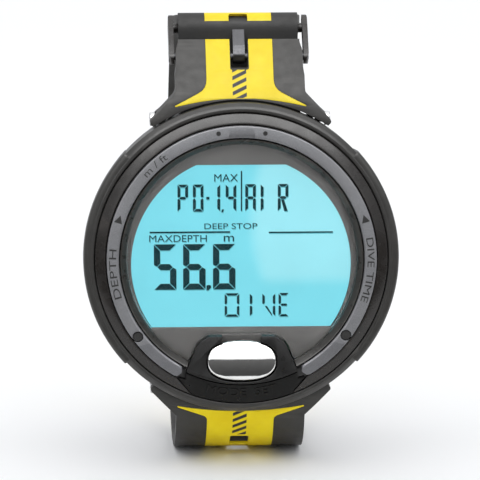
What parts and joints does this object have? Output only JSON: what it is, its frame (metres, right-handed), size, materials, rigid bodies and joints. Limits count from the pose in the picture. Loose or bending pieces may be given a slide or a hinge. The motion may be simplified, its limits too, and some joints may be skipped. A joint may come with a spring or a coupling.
{
  "type": "wrist dive computer",
  "caption": "Round wrist dive computer with a large display, one push button and a buckled two-tone rubber strap.",
  "frame": {"origin": "centre of the case's flat back, on the outer face of the battery cap, which rests on the wrist", "axes": "+Z towards twelve o'clock, the display faces -Y, +X towards three o'clock"},
  "size_m": [0.072, 0.0685, 0.1021],
  "materials": {
    "casing": "fine moulded satin",
    "bezel": "satin moulded plastic",
    "silver_ring": "fine satin",
    "stud": "brushed",
    "black_plastic": "semi-gloss black",
    "lens_glass": "clear polished",
    "seal_rubber": "smooth",
    "lcd": "backlit display",
    "diffuser": "milky",
    "board": "solder resist",
    "brass": "plain",
    "steel": "fine brushed",
    "button_chrome": "mirror polished",
    "strap_rubber": "matt moulded",
    "yellow_rubber": "smooth moulded"
  },
  "bodies": {
    "root": {"case_body": "casing", "front_bezel": "bezel", "trim_ring": "silver_ring", "contact_stud_right": "stud", "contact_stud_left": "stud", "lens_retainer": "black_plastic", "lens": "lens_glass", "lens_seal": "seal_rubber", "display_mask": "black_plastic", "lcd_panel": "lcd", "backlight_diffuser": "diffuser", "zebra_strip_upper": "seal_rubber", "zebra_strip_lower": "seal_rubber", "circuit_board": "board", "board_screw_1": "steel", "board_screw_2": "steel", "board_screw_3": "steel", "board_screw_4": "steel", "processor_chip": "black_plastic", "quartz_crystal": "steel", "piezo_buzzer": "brass", "switch_dome": "steel", "pressure_sensor": "steel", "pressure_sensor_seal": "seal_rubber", "sensor_port_cover": "black_plastic", "battery": "steel", "battery_contact_negative": "brass", "battery_contact_positive": "brass", "button_surround": "bezel", "button_seal": "seal_rubber", "button_spring": "steel", "name_plate": "black_plastic", "strap_upper": "strap_rubber", "strap_upper_inlay": "yellow_rubber", "strap_lower": "strap_rubber", "strap_lower_inlay": "yellow_rubber", "strap_pin_upper": "steel", "strap_pin_lower": "steel", "strap_pin_screw_upper_right": "steel", "strap_pin_screw_upper_left": "steel", "strap_pin_screw_lower_right": "steel", "strap_pin_screw_lower_left": "steel", "buckle_pin": "steel"},
    "button": {"button_cap": "button_chrome", "button_stem": "steel", "button_clip": "steel"},
    "cap_seal": {"battery_cap_seal": "seal_rubber"},
    "cap": {"battery_cap": "casing"},
    "buckle": {"buckle_frame": "bezel"},
    "prong": {"buckle_prong": "stud"}
  },
  "joints": [
    {"name": "button_press", "type": "slide", "parent": "root", "child": "button", "axis": [0, 1, 0], "range_m": [0, 0.0008], "stiffness_N_per_m": 600, "springref_m": -0.0012, "deforming": ["button_spring"]},
    {"name": "battery_cap_lift", "type": "slide", "parent": "root", "child": "cap_seal", "axis": [0, 1, 0], "range_m": [0, 0.0031]},
    {"name": "battery_cap_turn", "type": "hinge", "parent": "cap_seal", "child": "cap", "pos_m": [0, 0, 0], "axis": [0, 1, 0], "range_deg": [0, 540]},
    {"name": "buckle_pivot", "type": "hinge", "parent": "root", "child": "buckle", "pos_m": [0, -0.00225, 0.04465], "axis": [1, 0, 0], "range_deg": [-1.2, 1.2]},
    {"name": "prong_pivot", "type": "hinge", "parent": "root", "child": "prong", "pos_m": [0, -0.00225, 0.04465], "axis": [1, 0, 0], "range_deg": [0, 110]}
  ],
  "couplings": [
    {"joint": "battery_cap_lift", "follows": "battery_cap_turn", "m_per_rad": 0.00031831}
  ]
}
